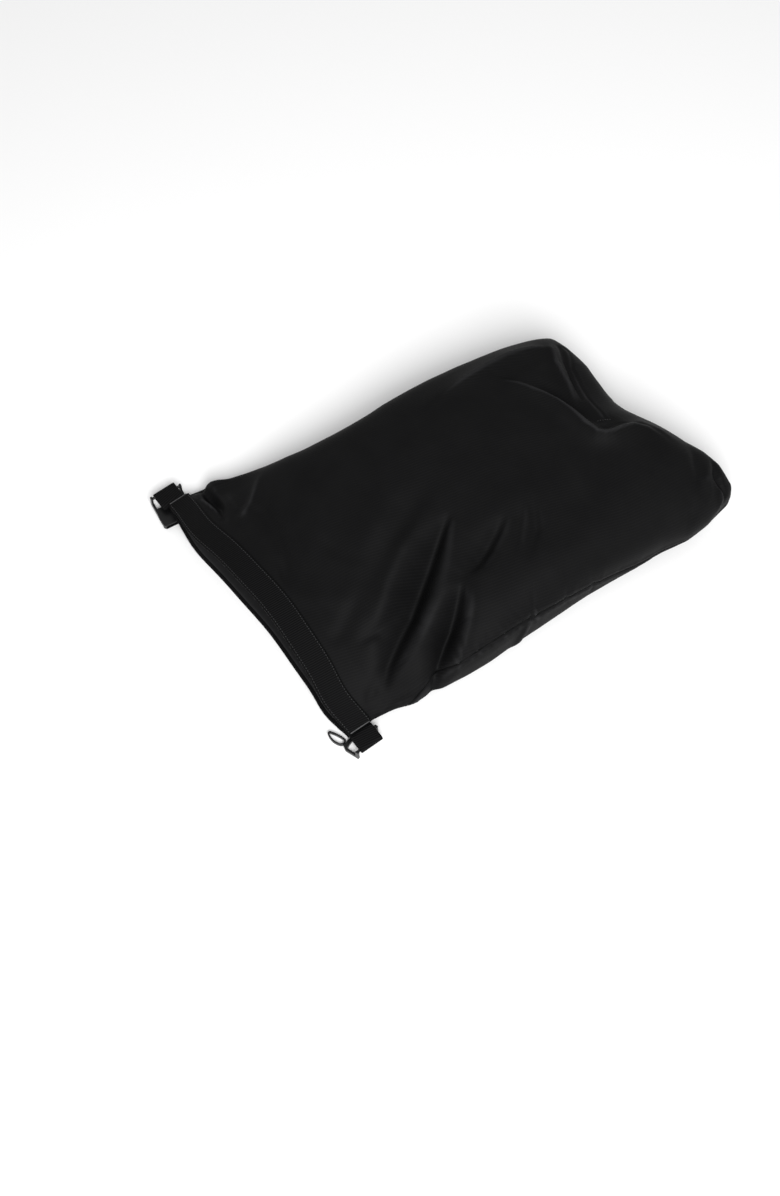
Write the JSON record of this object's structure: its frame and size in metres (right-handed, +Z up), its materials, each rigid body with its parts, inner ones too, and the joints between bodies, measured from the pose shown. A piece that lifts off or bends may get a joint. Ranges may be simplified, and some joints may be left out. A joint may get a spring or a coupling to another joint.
{
  "type": "compression sack",
  "caption": "Roll-top compression sack of coated fabric lying open on its back, with a webbing mouth, stiffened rim and side-release buckle halves.",
  "frame": {"origin": "floor under the middle of the sack, on the flat underside of the back panel", "axes": "+Y from the open mouth to the sewn bottom, +Z up, +X towards the end of the mouth with the male buckle half"},
  "size_m": [0.3685, 0.4753, 0.0945],
  "materials": {
    "coated_fabric": "matt black coated nylon with a soft sheen",
    "webbing": "ribbed black polyester webbing",
    "seam_tape": "satin sealing film",
    "stiffener_plastic": "flexible plastic strip",
    "buckle_plastic": "gloss black moulded plastic"
  },
  "bodies": {
    "sack": {"front_panel": "coated_fabric", "back_panel": "coated_fabric", "left_side_seam_tape": "seam_tape", "right_side_seam_tape": "seam_tape", "bottom_seam_tape": "seam_tape", "left_corner_tape": "seam_tape", "right_corner_tape": "seam_tape"},
    "mouth": {"front_neck": "coated_fabric", "back_neck": "coated_fabric", "front_mouth_webbing": "webbing", "back_mouth_webbing": "webbing", "front_stiffener": "stiffener_plastic", "back_stiffener": "stiffener_plastic", "left_tab_root": "webbing", "right_tab_root": "webbing"},
    "left_loop": {"left_webbing_loop": "webbing"},
    "right_loop": {"right_webbing_loop": "webbing"},
    "male_half": {"male_buckle": "buckle_plastic"},
    "outer_arm": {"outer_release_arm": "buckle_plastic"},
    "inner_arm": {"inner_release_arm": "buckle_plastic"},
    "female_half": {"female_buckle": "buckle_plastic"}
  },
  "joints": [
    {"name": "neck_fold", "type": "hinge", "parent": "sack", "child": "mouth", "pos_m": [0.00555, -0.14886, 0.0668], "axis": [-0.9998, -0.0223, 0], "range_deg": [0, 150]},
    {"name": "left_tab_bend", "type": "hinge", "parent": "mouth", "child": "left_loop", "pos_m": [-0.1666, -0.217, 0.0186], "axis": [0, 1, 0], "range_deg": [0, 100]},
    {"name": "right_tab_bend", "type": "hinge", "parent": "mouth", "child": "right_loop", "pos_m": [0.1466, -0.212, 0.0166], "axis": [0, -1, 0], "range_deg": [0, 100]},
    {"name": "male_half_swing", "type": "hinge", "parent": "right_loop", "child": "male_half", "pos_m": [0.15959, -0.213, 0.0118], "axis": [0.342, -0.9397, 0], "range_deg": [0, 180]},
    {"name": "female_half_swing", "type": "hinge", "parent": "left_loop", "child": "female_half", "pos_m": [-0.18274, -0.217, 0.0138], "axis": [0.1392, 0.9903, 0], "range_deg": [0, 180]},
    {"name": "outer_arm_squeeze", "type": "hinge", "parent": "male_half", "child": "outer_arm", "pos_m": [0.14638, -0.22994, 0.0026], "axis": [0, 0, -1], "range_deg": [0, 6], "stiffness_Nm_per_rad": 0.2},
    {"name": "inner_arm_squeeze", "type": "hinge", "parent": "male_half", "child": "inner_arm", "pos_m": [0.13859, -0.20851, 0.0026], "axis": [0, 0, 1], "range_deg": [0, 6], "stiffness_Nm_per_rad": 0.2}
  ]
}
